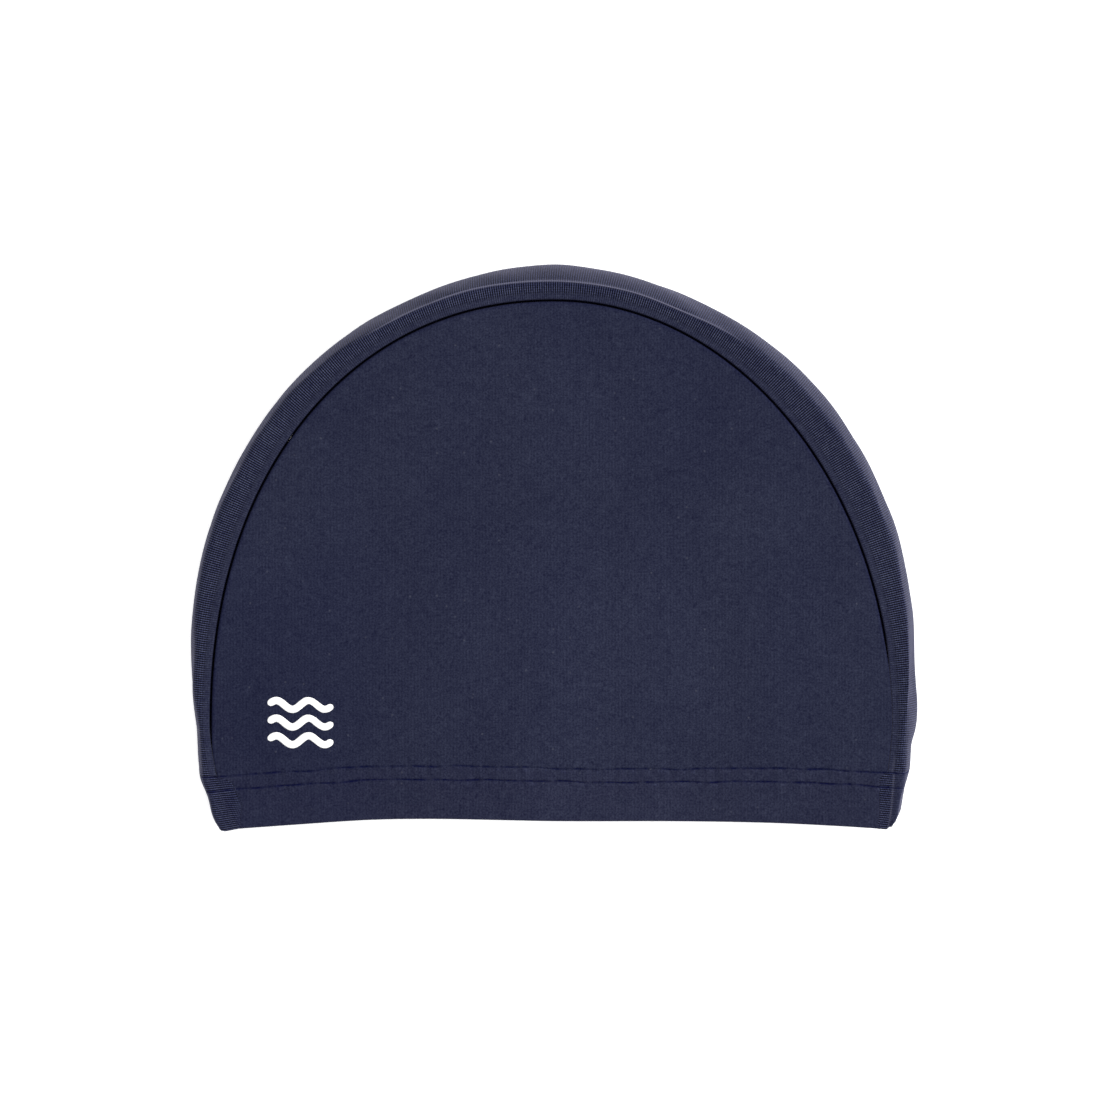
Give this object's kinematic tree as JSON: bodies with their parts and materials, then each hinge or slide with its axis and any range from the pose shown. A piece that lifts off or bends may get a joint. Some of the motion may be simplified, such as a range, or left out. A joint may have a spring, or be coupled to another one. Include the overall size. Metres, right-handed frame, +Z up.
{
  "type": "fabric swim cap",
  "caption": "Sewn knit swim cap lying flat on its side: D-shaped side panels, a folded centre band over the crown and a doubled hem.",
  "frame": {"origin": "on the floor, under the middle of the lying cap", "axes": "+X along the rim, +Y from the rim to the crown, +Z up from the floor through the far side and the near side"},
  "size_m": [0.246, 0.193, 0.0272],
  "materials": {
    "panel_knit": "navy fine polyester jersey, matt with a faint nap",
    "band_knit": "the same jersey turned crossways, so that its ribs run across the band",
    "hem_knit": "the same jersey, doubled and sewn down",
    "thread": "navy polyester sewing thread",
    "print_film": "thin white transfer print"
  },
  "bodies": {
    "root": {"side_panel_near": "panel_knit", "side_panel_far": "panel_knit", "centre_band": "band_knit", "hem": "hem_knit"}
  },
  "joints": []
}
